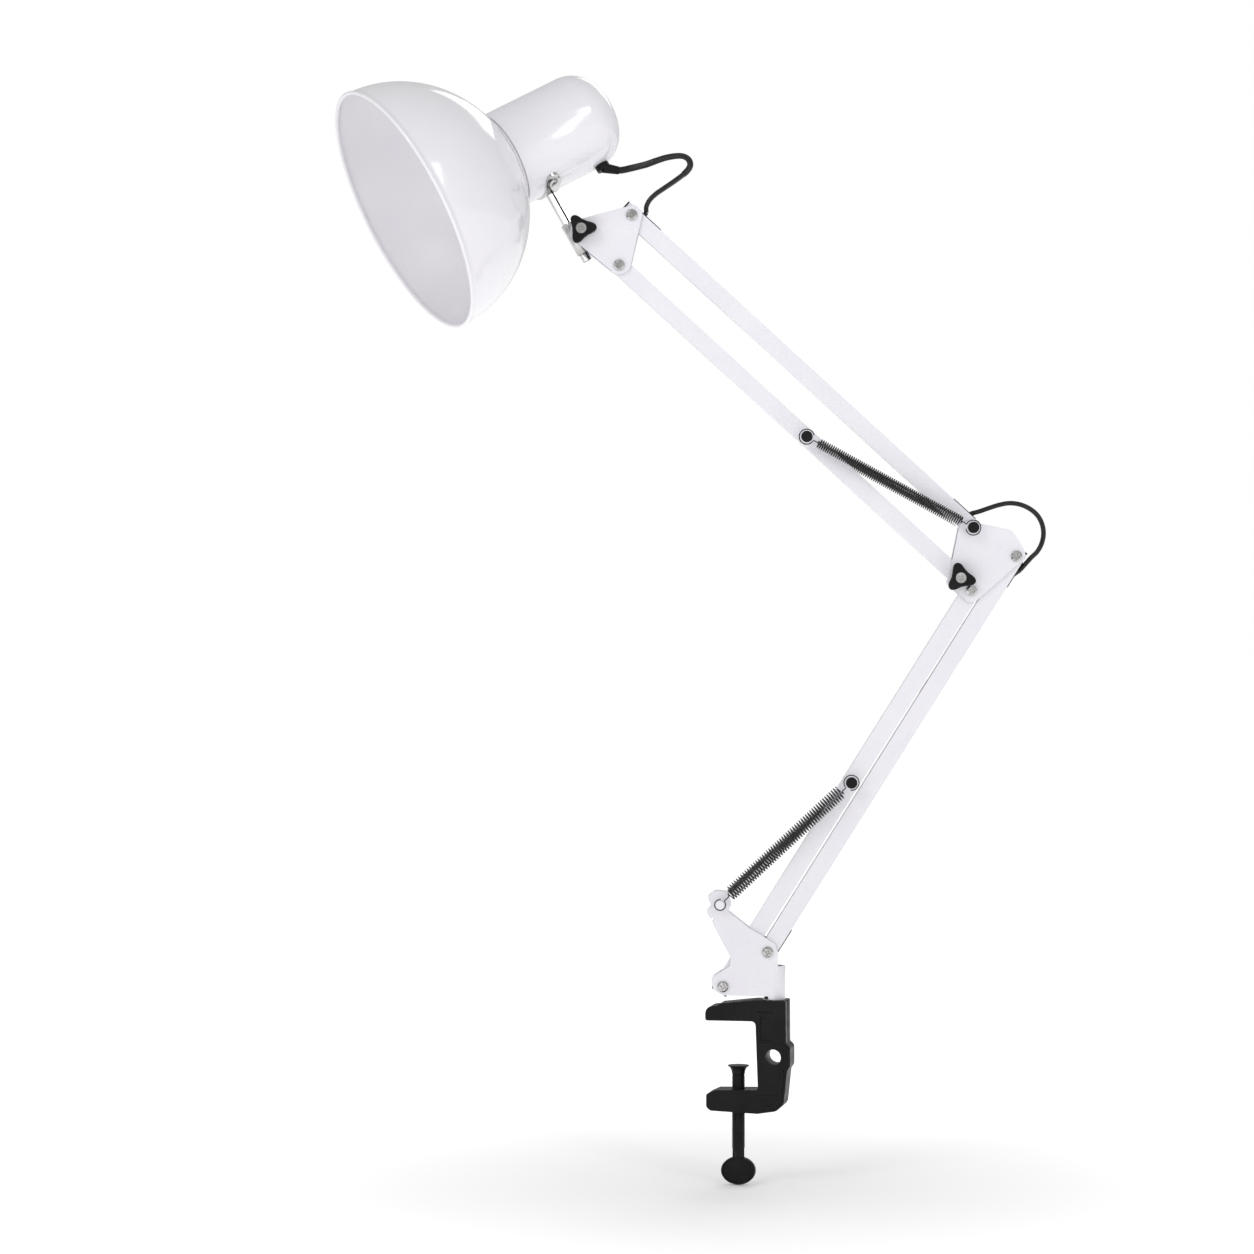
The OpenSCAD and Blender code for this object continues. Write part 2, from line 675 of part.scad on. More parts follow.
upper_inner_route = [for (q = [
  [6, 0, -8.6], [7.6, 0, -5.6], [11, 0, -2.6], [16, 0, -0.7], [24, 0, 0], [90, 0, 0], [200, 0, 0],
  [upper_arm - 20, 0, 0], [upper_arm - 13, 0, -0.7], [upper_arm - 8.4, 0, -2.8],
  [upper_arm - 6, 0, -6], [upper_arm - 5.6, 0, -8.4]
]) place(elbow_top, upper_rise, q)];

lower_inner_route = [for (q = [
  [lead_slot + 6, 9.6, 0], [lead_slot + 7.4, 6, 0], [lead_slot + 11, 2.6, 0], [lead_slot + 17, 0.6, 0],
  [lead_slot + 26, 0, 0], [200, 0, 0],
  [lower_arm - 30, 0, 0], [lower_arm - 24, 0, -0.6], [lower_arm - 18, 0, -2.4], [lower_arm - 12, 0, -5],
  [lower_arm - 6, 0, -7.6]
]) place(base_right, lower_rise, q)];

head_route = [
  [-87.3, 9.4, 579.9], [-84, 10, 579.3], [-81, 10.6, 579], [-77.5, 11, 579.5], [-73, 11, 580.5],
  [-68, 10.4, 581.6], [-62, 9.2, 583], [-56, 7.8, 585], [-49, 6.2, 587], [-42, 4.8, 588],
  [-37, 3.8, 587.6], [-33.6, 3, 585.4], [-32.4, 2.4, 582], [-33.6, 1.8, 578.6], [-37, 1.2, 575],
  [-43, 0.6, 570.4], [-50, 0.2, 565.6], [-56, 0, 561.4], [-60, 0, 557.4], [-62.2, 0, 553]
];

elbow_route = [
  [163.6, 0, 345.6], [170, 0, 347.8], [177, 0, 350], [184, 0, 351.2], [191, 0, 350.4],
  [197.6, 0, 347.6], [203, 0, 343], [206.2, 0, 337], [207.2, 0, 330.4], [206, 0, 324],
  [203, 0, 318.4], [198.6, 0, 314]
];

module upper_inner_flex() color("#1a1a1b") flex_tube(upper_inner_route);
module lower_inner_flex() color("#1a1a1b") flex_tube(lower_inner_route);
module head_flex() color("#1a1a1b")
  flex_tube(concat(head_route, [short_of(upper_inner_route[11], head_route[19])]));
module elbow_flex() color("#1a1a1b") flex_tube(concat(
  [short_of(upper_inner_route[0], elbow_route[0])], elbow_route,
  [short_of(lower_inner_route[10], elbow_route[11])]
));

// ---- Mains lead, folded into a hank behind the lower arm ----

hank_start = 152;
hank_run = 72;
hank_fold = 20.5;
hank_y = 7.4;
hank_w = 10;
hank_z = -1.7;
hank_lean = -3.5;

// Frame of the hank: X along the arm, Y away from the viewer
module hank_frame() along(base_right, lower_rise)
  translate([hank_start + hank_fold, hank_y + hank_fold, hank_z]) rotate([hank_lean, 0, 0]) children();

lead_route = [for (q = [
  [lead_slot + 6.5, 13.5, -0.2], [lead_slot + 9.5, 17.5, -0.6], [lead_slot + 14, 20.6, -1],
  [lead_slot + 20, 23, -1.3], [lead_slot + 30, 25.2, -1.5], [lead_slot + 42, 26.8, -1.7],
  [hank_start - 0.3, hank_y + hank_fold, hank_z]
]) place(base_right, lower_rise, q)];

module lead_tail() color("#1a1a1b")
  flex_tube(concat([short_of(lower_inner_route[0], lead_route[0])], lead_route));

module lead_hank() color("#1a1a1b") hank_frame() linear_extrude(hank_w, center = true) {
  circle(hank_fold);
  translate([hank_run, 0]) circle(hank_fold);
  translate([0, -hank_fold]) square([hank_run, 2 * hank_fold]);
}

// Two pin plug that lies on the back of the hank
module lead_plug() color("#1a1a1b") hank_frame() translate([24, hank_fold, 0]) {
  translate([0, 0.2, -5.2]) cube([26, 22, 10.4]);
  translate([0, 11.2, 0]) rotate([0, -90, 0]) cylinder(r1 = 4.6, r2 = 2.6, h = 16);
  for (side = [-1, 1]) translate([26, 11.2 + side * 6.35 - 0.75, -3.2]) cube([17, 1.5, 6.4]);
}

module lead_tie() color("#1c1c1e") hank_frame() difference() {
  translate([32, -hank_fold - 0.9, -5.9]) cube([10, 2 * hank_fold + 24.4, 11.8]);
  translate([31, -hank_fold, -5]) cube([12, 2 * hank_fold, 10]);
  translate([31, hank_fold, -5.2]) cube([12, 22.2, 10.4]);
}

// ---- Nodes ----

clamp_body();
clamp_pad();
clamp_screw();
base_bracket();
base_stem();
stem_washer();
spring_anchor_pin();
base_screws();
base_nuts();
lower_bar_right();
lower_right_plugs();
lower_slot_liners();
lower_inner_flex();
lower_bar_left();
lower_left_plugs();
lower_spring_post();
lower_post_caps();
lower_spring_coils();
lower_spring_hooks();
elbow_plate_front();
elbow_plate_rear();
elbow_screws();
elbow_nuts();
elbow_post();
elbow_post_caps();
elbow_knob();
elbow_knob_bolt();
upper_bar_top();
upper_top_plugs();
upper_slot_liners();
upper_inner_flex();
upper_bar_bottom();
upper_bottom_plugs();
upper_spring_post();
upper_post_caps();
upper_spring_coils();
upper_spring_hooks();
head_plate_front();
head_plate_rear();
head_screws();
head_nuts();
head_knob();
head_knob_bolt();
rod_clip();
head_rod();
rod_saddle();
saddle_rivets();
lamp_cup();
lamp_shade();
shade_ring();
lamp_socket();
socket_shell();
socket_bracket();
cord_gland();
head_flex();
elbow_flex();
lead_tail();
lead_hank();
lead_plug();
lead_tie();
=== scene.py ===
import json
import math

import bmesh
import bpy
from mathutils import Matrix, Vector


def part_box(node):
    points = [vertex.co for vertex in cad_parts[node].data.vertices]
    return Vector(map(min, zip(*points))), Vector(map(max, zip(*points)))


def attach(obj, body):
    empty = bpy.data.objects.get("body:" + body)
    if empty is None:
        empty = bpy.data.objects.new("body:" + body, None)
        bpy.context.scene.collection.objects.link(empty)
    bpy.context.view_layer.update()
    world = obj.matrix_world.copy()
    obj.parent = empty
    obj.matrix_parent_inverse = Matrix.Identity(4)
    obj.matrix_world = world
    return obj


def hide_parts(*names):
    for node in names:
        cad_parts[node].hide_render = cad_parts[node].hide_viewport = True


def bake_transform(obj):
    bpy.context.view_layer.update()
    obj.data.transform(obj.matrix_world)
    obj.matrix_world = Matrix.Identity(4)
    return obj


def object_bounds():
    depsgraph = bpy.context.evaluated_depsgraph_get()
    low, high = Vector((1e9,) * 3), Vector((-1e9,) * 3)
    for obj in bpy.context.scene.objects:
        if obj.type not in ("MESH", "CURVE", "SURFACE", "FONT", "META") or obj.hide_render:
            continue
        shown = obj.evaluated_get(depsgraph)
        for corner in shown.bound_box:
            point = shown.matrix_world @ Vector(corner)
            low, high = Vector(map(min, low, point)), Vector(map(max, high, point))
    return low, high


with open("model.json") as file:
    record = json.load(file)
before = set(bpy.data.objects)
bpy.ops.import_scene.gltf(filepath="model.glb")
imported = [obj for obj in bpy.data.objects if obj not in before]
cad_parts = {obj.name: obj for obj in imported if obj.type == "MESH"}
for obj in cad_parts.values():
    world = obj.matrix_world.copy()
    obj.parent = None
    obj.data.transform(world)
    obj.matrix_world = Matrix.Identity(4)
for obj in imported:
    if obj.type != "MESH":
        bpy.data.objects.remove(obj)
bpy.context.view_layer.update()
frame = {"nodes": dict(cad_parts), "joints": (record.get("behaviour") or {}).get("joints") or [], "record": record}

MM = 0.001
PIVOT = {j["name"]: Vector(j["pos_m"]) for j in frame["joints"] if "pos_m" in j}
UP = Vector((0, 0, 1))
DEPTH = Vector((0, 1, 0))


# ---- Places and directions ----

def middle(node):
    """Centre of a node's box."""
    low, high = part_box(node)
    return (low + high) / 2


def flat(v):
    """The same point in the plane of the arms."""
    return Vector((v.x, 0, v.z))


def frame_at(origin, x_axis, y_axis):
    """Matrix of a frame: X along x_axis, and Y as near to y_axis as it can be."""
    x = x_axis.normalized()
    z = x.cross(y_axis).normalized()
    y = z.cross(x)
    m = Matrix((x, y, z)).transposed().to_4x4()
    m.translation = origin
    return m


BASE_RIGHT = PIVOT["lower_arm"]
ELBOW_RIGHT = PIVOT["elbow_level"]
ELBOW_TOP = PIVOT["upper_arm"]
HEAD_TOP = PIVOT["head_level"]
ANCHOR = PIVOT["lower_spring_swing"]
LOWER_POST = flat(middle("lower_spring_post"))
UPPER_POST = flat(middle("upper_spring_post"))

LOWER_ARM = frame_at(BASE_RIGHT, ELBOW_RIGHT - BASE_RIGHT, DEPTH)
UPPER_ARM = frame_at(ELBOW_TOP, HEAD_TOP - ELBOW_TOP, DEPTH)

# The head's frame: X along the rod that carries it, Z out of the shade
ROD_DIRECTION = Vector(next(j["axis"] for j in frame["joints"] if j["name"] == "head_swivel"))
ROD_RISE = math.atan2(ROD_DIRECTION.z, ROD_DIRECTION.x)
ROD_REACH = 67 * MM
HEAD_TURN = math.radians(19)
HEAD = (Matrix.Translation(PIVOT["head_swivel"] + ROD_REACH * ROD_DIRECTION)
        @ Matrix.Rotation(-ROD_RISE, 4, "Y") @ Matrix.Rotation(HEAD_TURN, 4, "X"))


# ---- Camera ----

# It looks level along +Y, turned a little. All in metres, apart from the sensor in millimetres
TARGET = Vector((-0.0754, 0, 0.2672))
CAMERA_TURN = math.radians(-1.2)
DISTANCE = 2.5
SEEN_WIDTH = 0.8527
SENSOR_WIDTH = 36
FAR_LIMIT = 100


def add_camera():
    data = bpy.data.cameras.new("camera")
    camera = bpy.data.objects.new("camera", data)
    bpy.context.scene.collection.objects.link(camera)
    forward = Vector((math.sin(CAMERA_TURN), math.cos(CAMERA_TURN), 0))
    camera.location = TARGET - DISTANCE * forward
    camera.rotation_euler = forward.to_track_quat("-Z", "Y").to_euler()
    data.sensor_width = SENSOR_WIDTH
    data.lens = SENSOR_WIDTH * DISTANCE / SEEN_WIDTH
    data.clip_end = FAR_LIMIT
    bpy.context.scene.camera = camera


# ---- Materials ----

COAT_ROUGHNESS = 0.06
BEVEL_SAMPLES = 4


class Look:
    """A principled material, and the detail wired into it."""

    def __init__(self, name, roughness, metallic=0.0, coat=0.0, specular=0.5):
        self.material = bpy.data.materials.new(name)
        self.material.use_nodes = True
        self.nodes = self.material.node_tree.nodes
        self.links = self.material.node_tree.links
        self.shader = self.nodes["Principled BSDF"]
        self.shader.inputs["Metallic"].default_value = metallic
        self.shader.inputs["Roughness"].default_value = roughness
        self.shader.inputs["Coat Weight"].default_value = coat
        self.shader.inputs["Specular IOR Level"].default_value = specular
        self.shader.inputs["Coat Roughness"].default_value = COAT_ROUGHNESS
        self.place = self.nodes.new("ShaderNodeTexCoord").outputs["Object"]
        self.normal = None

    def noise(self, scale, detail=3.0, stretch=(1, 1, 1)):
        """Noise with features of about 1/scale metres, drawn out along an axis of low stretch."""
        mapping = self.nodes.new("ShaderNodeMapping")
        mapping.inputs["Scale"].default_value = stretch
        self.links.new(self.place, mapping.inputs["Vector"])
        noise = self.nodes.new("ShaderNodeTexNoise")
        noise.inputs["Scale"].default_value = scale
        noise.inputs["Detail"].default_value = detail
        self.links.new(mapping.outputs["Vector"], noise.inputs["Vector"])
        return noise.outputs["Fac"]

    def cells(self, scale):
        """Small cells, as in the grain of a moulding tool."""
        cells = self.nodes.new("ShaderNodeTexVoronoi")
        cells.inputs["Scale"].default_value = scale
        self.links.new(self.place, cells.inputs["Vector"])
        return cells.outputs["Distance"]

    def spread(self, source, low, high, near=0.3, far=0.7):
        """The source's middle range, mapped to low..high."""
        span = self.nodes.new("ShaderNodeMapRange")
        limits = {"From Min": near, "From Max": far, "To Min": low, "To Max": high}
        for name, value in limits.items():
            span.inputs[name].default_value = value
        self.links.new(source, span.inputs["Value"])
        return span.outputs["Result"]

    def edges(self, radius, reach=0.06):
        """Near 1 on sharp outer edges, and 0 on open faces."""
        bevel = self.nodes.new("ShaderNodeBevel")
        bevel.samples = BEVEL_SAMPLES
        bevel.inputs["Radius"].default_value = radius
        surface = self.nodes.new("ShaderNodeNewGeometry")
        dot = self.nodes.new("ShaderNodeVectorMath")
        dot.operation = "DOT_PRODUCT"
        self.links.new(bevel.outputs["Normal"], dot.inputs[0])
        self.links.new(surface.outputs["Normal"], dot.inputs[1])
        return self.spread(dot.outputs["Value"], 1, 0, 1 - reach, 0.999)

    def both(self, a, b):
        """Product of two masks."""
        product = self.nodes.new("ShaderNodeMath")
        product.operation = "MULTIPLY"
        self.links.new(a, product.inputs[0])
        self.links.new(b, product.inputs[1])
        return product.outputs["Value"]

    def mixed(self, mask, below, above):
        """Blend of two colours by a mask, each given as numbers or as another node's output."""
        mix = self.nodes.new("ShaderNodeMix")
        mix.data_type = "RGBA"
        colours = [s for s in mix.inputs if s.type == "RGBA"]
        for socket, value in zip(colours, (below, above)):
            if isinstance(value, tuple):
                socket.default_value = (*value, 1)
            else:
                self.links.new(value, socket)
        self.links.new(mask, mix.inputs["Factor"])
        return next(s for s in mix.outputs if s.type == "RGBA")

    def colour(self, source):
        self.links.new(source, self.shader.inputs["Base Color"])

    def roughness(self, source):
        self.links.new(source, self.shader.inputs["Roughness"])

    def bump(self, source, distance, strength=1.0):
        """Relief of this height, on top of what is there already."""
        bump = self.nodes.new("ShaderNodeBump")
        bump.inputs["Strength"].default_value = strength
        bump.inputs["Distance"].default_value = distance
        self.links.new(source, bump.inputs["Height"])
        if self.normal:
            self.links.new(self.normal, bump.inputs["Normal"])
        self.normal = bump.outputs["Normal"]
        self.links.new(self.normal, self.shader.inputs["Normal"])


def moulded_black():
    look = Look("moulded_black", 0.42, specular=0.16)
    clouds = look.noise(60, 4)
    colour = look.mixed(look.spread(clouds, 0, 1), (0.005, 0.005, 0.0055), (0.010, 0.010, 0.011))
    worn = look.both(look.edges(0.5 * MM), look.spread(look.noise(500), 0.1, 0.8))
    look.colour(look.mixed(worn, colour, (0.035, 0.035, 0.037)))
    look.roughness(look.spread(look.noise(180, 5), 0.34, 0.52))
    look.bump(look.cells(2600), 0.03 * MM, 0.6)
    look.bump(look.noise(300, 2), 0.05 * MM, 0.35)
    return look.material


def white_paint():
    look = Look("white_paint", 0.3, coat=0.35)
    clouds = look.spread(look.noise(25, 4), 0, 1)
    colour = look.mixed(clouds, (0.79, 0.775, 0.83), (0.83, 0.82, 0.86))
    thin = look.both(look.edges(0.35 * MM), look.spread(look.noise(350), 0, 0.75))
    look.colour(look.mixed(thin, colour, (0.62, 0.61, 0.66)))
    look.roughness(look.spread(look.noise(120, 4), 0.24, 0.38))
    look.bump(look.noise(900, 2), 0.02 * MM, 0.5)
    look.bump(look.noise(220, 2), 0.03 * MM, 0.3)
    return look.material


def shade_enamel():
    look = Look("shade_enamel", 0.16, coat=0.6)
    clouds = look.spread(look.noise(14, 3), 0, 1)
    colour = look.mixed(clouds, (0.80, 0.785, 0.835), (0.835, 0.825, 0.86))
    dust = look.spread(look.noise(1600, 2), 0, 0.4, 0.62, 0.75)
    look.colour(look.mixed(dust, colour, (0.7, 0.68, 0.7)))
    look.roughness(look.spread(look.noise(60, 4), 0.12, 0.22))
    look.bump(look.noise(420, 2), 0.02 * MM, 0.35)
    return look.material


def shade_lining():
    look = Look("shade_lining", 0.42)
    clouds = look.spread(look.noise(18, 4), 0, 1)
    look.colour(look.mixed(clouds, (0.74, 0.725, 0.765), (0.785, 0.77, 0.80)))
    look.roughness(look.spread(look.noise(90, 4), 0.34, 0.5))
    look.bump(look.noise(700, 2), 0.02 * MM, 0.5)
    return look.material


def bright_nickel():
    look = Look("bright_nickel", 0.18, metallic=1.0)
    clouds = look.spread(look.noise(130, 4), 0, 1)
    colour = look.mixed(clouds, (0.45, 0.445, 0.44), (0.66, 0.655, 0.65))
    # Painted shade: the colour goes dark along edges and in recesses, standing in for the depth of the cross
    # recesses and for dark reflections
    look.colour(look.mixed(look.edges(0.45 * MM, 0.2), colour, (0.12, 0.115, 0.11)))
    look.roughness(look.spread(look.noise(260, 5), 0.1, 0.24))
    look.bump(look.noise(500, 3, (1, 1, 9)), 0.02 * MM, 0.35)
    return look.material


def blued_spring():
    look = Look("blued_spring", 0.34, metallic=0.75)
    clouds = look.spread(look.noise(320, 4), 0, 1)
    look.colour(look.mixed(clouds, (0.022, 0.022, 0.025), (0.07, 0.067, 0.066)))
    look.roughness(look.spread(look.noise(500, 4), 0.26, 0.46))
    look.bump(look.noise(2400, 2), 0.01 * MM, 0.5)
    return look.material


def socket_ceramic():
    look = Look("socket_ceramic", 0.3, coat=0.25)
    clouds = look.spread(look.noise(160, 5), 0, 1)
    colour = look.mixed(clouds, (0.77, 0.76, 0.73), (0.84, 0.83, 0.80))
    specks = look.spread(look.noise(2100, 1), 0, 0.5, 0.66, 0.74)
    look.colour(look.mixed(specks, colour, (0.5, 0.48, 0.44)))
    look.roughness(look.spread(look.noise(240, 3), 0.24, 0.4))
    look.bump(look.noise(520, 2), 0.03 * MM, 0.5)
    return look.material


def contact_brass():
    look = Look("contact_brass", 0.3, metallic=1.0)
    clouds = look.spread(look.noise(140, 5), 0, 1)
    colour = look.mixed(clouds, (0.60, 0.41, 0.16), (0.80, 0.60, 0.28))
    stain = look.spread(look.noise(60, 4), 0, 0.6, 0.55, 0.7)
    look.colour(look.mixed(stain, colour, (0.34, 0.21, 0.10)))
    look.roughness(look.spread(look.noise(320, 4), 0.22, 0.45))
    look.bump(look.noise(900, 3), 0.02 * MM, 0.4)
    return look.material


def soft_flex():
    look = Look("soft_flex", 0.3, specular=0.36)
    clouds = look.spread(look.noise(220, 4), 0, 1)
    look.colour(look.mixed(clouds, (0.005, 0.005, 0.006), (0.012, 0.012, 0.0135)))
    look.roughness(look.spread(look.noise(400, 4), 0.22, 0.36))
    look.bump(look.noise(1500, 2), 0.03 * MM, 0.4)
    return look.material


LOOKS = {
    "black_plastic": moulded_black(),
    "white_paint": white_paint(),
    "nickel": bright_nickel(),
    "black_spring": blued_spring(),
    "shade_enamel": shade_enamel(),
    "socket_white": socket_ceramic(),
    "brass": contact_brass(),
    "black_flex": soft_flex(),
}
LINING = shade_lining()


# ---- Mesh helpers ----

def smooth_curve(points, step):
    """Points about a step apart on a smooth curve through the given ones."""
    ends = [2 * points[0] - points[1], *points, 2 * points[-1] - points[-2]]
    out = []
    for a, b, c, d in zip(ends, ends[1:], ends[2:], ends[3:]):
        count = max(1, round((c - b).length / step))
        for i in range(count):
            t = i / count
            out.append(0.5 * (2 * b + (c - a) * t
                              + (2 * a - 5 * b + 4 * c - d) * t ** 2
                              + (3 * b - a - 3 * c + d) * t ** 3))
    return [*out, points[-1]]


def add_object(name, mesh, slot):
    """Visible piece of this mesh, in its slot's material."""
    obj = bpy.data.objects.new(name, mesh)
    bpy.context.scene.collection.objects.link(obj)
    mesh.materials.append(LOOKS[slot])
    return obj


def sweep(name, path, section, wide, slot, twist=(0, 0)):
    """Closed tube: the section, as (across, up) points, carried along a path.

    The twist is the section's turn about the path at either end, in degrees.
    """
    verts, faces, n = [], [], len(section)
    across = wide
    for i, p in enumerate(path):
        ahead = (path[min(i + 1, len(path) - 1)] - path[max(i - 1, 0)]).normalized()
        across = (across - across.dot(ahead) * ahead).normalized()
        up = ahead.cross(across)
        turn = math.radians(twist[0] + (twist[1] - twist[0]) * i / (len(path) - 1))
        turned = math.cos(turn) * across + math.sin(turn) * up
        turned_up = math.cos(turn) * up - math.sin(turn) * across
        verts += [p + u * turned + v * turned_up for u, v in section]
    for i in range(len(path) - 1):
        for k in range(n):
            a, b = i * n + k, i * n + (k + 1) % n
            faces.append((a, b, b + n, a + n))
    faces += [tuple(reversed(range(n))), tuple(range(len(verts) - n, len(verts)))]
    mesh = bpy.data.meshes.new(name)
    mesh.from_pydata(verts, [], faces)
    mesh.shade_smooth()
    return add_object(name, mesh, slot)


def circle(n):
    """Directions of n points round a circle, as (cosine, sine)."""
    return [(math.cos(k * math.tau / n), math.sin(k * math.tau / n)) for k in range(n)]


def round_section(r, n=8):
    return [(r * c, r * s) for c, s in circle(n)]


def lathe(name, profile, place, slot, n=96):
    """Solid of revolution about a frame's Z axis. The profile is closed, as (radius, height)."""
    verts, faces, rows = [], [], len(profile)
    for c, s in circle(n):
        verts += [place @ Vector((r * c, r * s, z)) for r, z in profile]
    for k in range(n):
        for i in range(rows):
            a, b = k * rows + i, k * rows + (i + 1) % rows
            c, d = (k + 1) % n * rows + (i + 1) % rows, (k + 1) % n * rows + i
            faces.append((a, d, c, b))
    mesh = bpy.data.meshes.new(name)
    mesh.from_pydata(verts, [], faces)
    mesh.shade_smooth()
    return add_object(name, mesh, slot)


# ---- Cords ----

FLEX_W = 4.8 * MM
FLEX_T = 3.2 * MM
LOOP_STEP = 1 * MM
LEAD_STEP = 2 * MM


def twin_section(thick, width, n=20):
    """Section of a flat twin flex: two round cores with a groove between them."""
    r, off = thick / 2, (width - thick) / 2
    out = []
    for c, s in circle(n):
        reach = off * abs(c) + math.sqrt(r * r - (off * s) ** 2)
        out.append((reach * c, reach * s))
    return out


FLEX = twin_section(FLEX_T, FLEX_W)


def flex_piece(name, path, with_pieces=(), wide=DEPTH, twist=(0, 0)):
    """Length of flex along a path."""
    piece = sweep(name, path, FLEX, wide, "black_flex", twist)
    return piece


def jointed_flex(node, route, parts):
    """A cord in several lengths, one for each joint that it crosses.

    Each part gives its name, the route's points that it runs between, its two bodies and its twist.
    """
    path = smooth_curve(route, LOOP_STEP)
    for name, first, last, start_body, end_body, twist in parts:
        start, end = (min(range(len(path)), key=lambda i: (path[i] - route[k]).length)
                      for k in (first, last))
        piece = flex_piece(name, path[max(0, start - 1):end + 1], twist=twist)
        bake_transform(piece)
        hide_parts(node)


def in_frame(place, points):
    """Points in metres, from points in a frame's millimetres."""
    return [place @ (Vector(p) * MM) for p in points]


def add_head_flex():
    """Loop from the cup's gland to the upper tube, across three joints."""
    route = [Vector(p) * MM for p in [
        (-87.3, 9.4, 579.9), (-84, 10, 579.3), (-81, 10.6, 579), (-77.5, 11, 579.5),
        (-73, 11, 580.5), (-68, 10.4, 581.6), (-62, 9.2, 583), (-56, 7.8, 585), (-49, 6.2, 587),
        (-42, 4.8, 588), (-37, 3.8, 587.6), (-33.6, 3, 585.4), (-32.4, 2.4, 582),
        (-33.6, 1.8, 578.6), (-37, 1.2, 575), (-43, 0.6, 570.4), (-50, 0.2, 565.6),
        (-56, 0, 561.4), (-60, 0, 557.4), (-62.2, 0, 553)]]
    upper_length = (HEAD_TOP - ELBOW_TOP).length
    route.append(UPPER_ARM @ Vector((upper_length - 5.6 * MM, 0, -8.4 * MM)))
    jointed_flex("head_flex", route, [
        ("head_flex_cup", 0, 7, "head", "tilt", (80, 60)),
        ("head_flex_loop", 7, 14, "tilt", "head_bracket", (60, 10)),
        ("head_flex_arm", 14, 20, "head_bracket", "upper_top", (10, 0))])


def add_elbow_flex():
    """Loop from the upper tube to the lower one round the elbow, across two joints."""
    route = [UPPER_ARM @ Vector((6 * MM, 0, -8.6 * MM))]
    route += [Vector(p) * MM for p in [
        (163.6, 0, 345.6), (170, 0, 347.8), (177, 0, 350), (184, 0, 351.2), (191, 0, 350.4),
        (197.6, 0, 347.6), (203, 0, 343), (206.2, 0, 337), (207.2, 0, 330.4), (206, 0, 324),
        (203, 0, 318.4), (198.6, 0, 314)]]
    lower_length = (ELBOW_RIGHT - BASE_RIGHT).length
    route.append(LOWER_ARM @ Vector((lower_length - 6 * MM, 0, -7.6 * MM)))
    jointed_flex("elbow_flex", route, [
        ("elbow_flex_top", 0, 8, "upper_top", "elbow", (0, 0)),
        ("elbow_flex_low", 8, 13, "elbow", "lower_right", (0, 0))])


# The lead is folded into a hank behind the lower arm: straight runs between half turns, in two
# layers. In millimetres, in the hank's frame, with X along its runs and Z through it
HANK_RUN = 72
HANK_RADII = [18.8, 15.4, 12]
HANK_LAYER = 2.5
LAST_FOLD = 25.2
RUN_PARTS = (0.08, 0.36, 0.64, 0.92)
HALF_TURN = [math.pi * (k + 0.5) / 7 for k in range(7)]
HANK = (LOWER_ARM @ Matrix.Translation(Vector((172.5, 27.9, -1.7)) * MM)
        @ Matrix.Rotation(math.radians(-3.5), 4, "X"))


def hank_route():
    """Turns of the hank, inwards in one layer and outwards in the next, then round to the plug."""
    radii = HANK_RADII + HANK_RADII[::-1]
    out = []
    for i, r in enumerate(radii):
        z = -HANK_LAYER if i < len(HANK_RADII) else HANK_LAYER
        last = i == len(radii) - 1
        fold = LAST_FOLD if last else radii[i + 1]
        fold_z = -HANK_LAYER if i + 1 < len(HANK_RADII) else HANK_LAYER
        out += [(HANK_RUN * t, r, z) for t in RUN_PARTS]
        out += [(HANK_RUN + r * math.sin(a), r * math.cos(a), z) for a in HALF_TURN]
        low = -r if last else -fold
        for t in RUN_PARTS:
            ease = t * t * (3 - 2 * t)
            out.append((HANK_RUN * (1 - t), -r + (low + r) * ease, z + (fold_z - z) * ease))
        middle_y = fold + low
        for a in HALF_TURN:
            lift = (1 - math.cos(a)) / 2 * HANK_LAYER if last else 0
            out.append((-fold * math.sin(a), middle_y - fold * math.cos(a), fold_z - lift))
    return out + [(2, 31.6, 0), (6, 31.7, 0), (11, 31.7, 0)]


def add_mains_lead():
    """Lead from the lower tube's rear slot, through the hank, to its plug."""
    tail = in_frame(LOWER_ARM, [
        (106, 6, 0), (106.3, 9.6, -0.1), (107.6, 13.4, -0.2), (110.4, 17.2, -0.5),
        (115, 20.8, -1), (122, 23.4, -1.6), (131, 25.6, -2.3), (140, 28.8, -3.2),
        (149, 34, -4.1), (157, 39.8, -4.9), (165, 44.4, -5.4)])
    path = smooth_curve(tail + in_frame(HANK, hank_route()), LEAD_STEP)
    piece = flex_piece("mains_lead", path,
                       wide=LOWER_ARM.to_3x3() @ UP, with_pieces=[add_plug(), add_tie()])
    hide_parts("lead_tail", "lead_hank")
    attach(piece, "lower_right")


def rounded_block(name, low, high, radius, place, slot, segments=3):
    """Box with rounded edges between two corners, in a frame's millimetres."""
    mesh = bpy.data.meshes.new(name)
    shape = bmesh.new()
    bmesh.ops.create_cube(shape, size=1)
    low, high = Vector(low), Vector(high)
    for v in shape.verts:
        v.co = Vector((low[i] + high[i]) / 2 + v.co[i] * (high[i] - low[i])
                      for i in range(3)) * MM
    bmesh.ops.bevel(shape, geom=shape.edges[:], offset=radius * MM, segments=segments,
                    affect="EDGES", profile=0.5)
    shape.transform(place)
    shape.to_mesh(mesh)
    shape.free()
    mesh.shade_smooth()
    return add_object(name, mesh, slot)


PLUG_MIDDLE = 11.2
PIN_SPACING = 12.7
GRIP_RIBS = 5


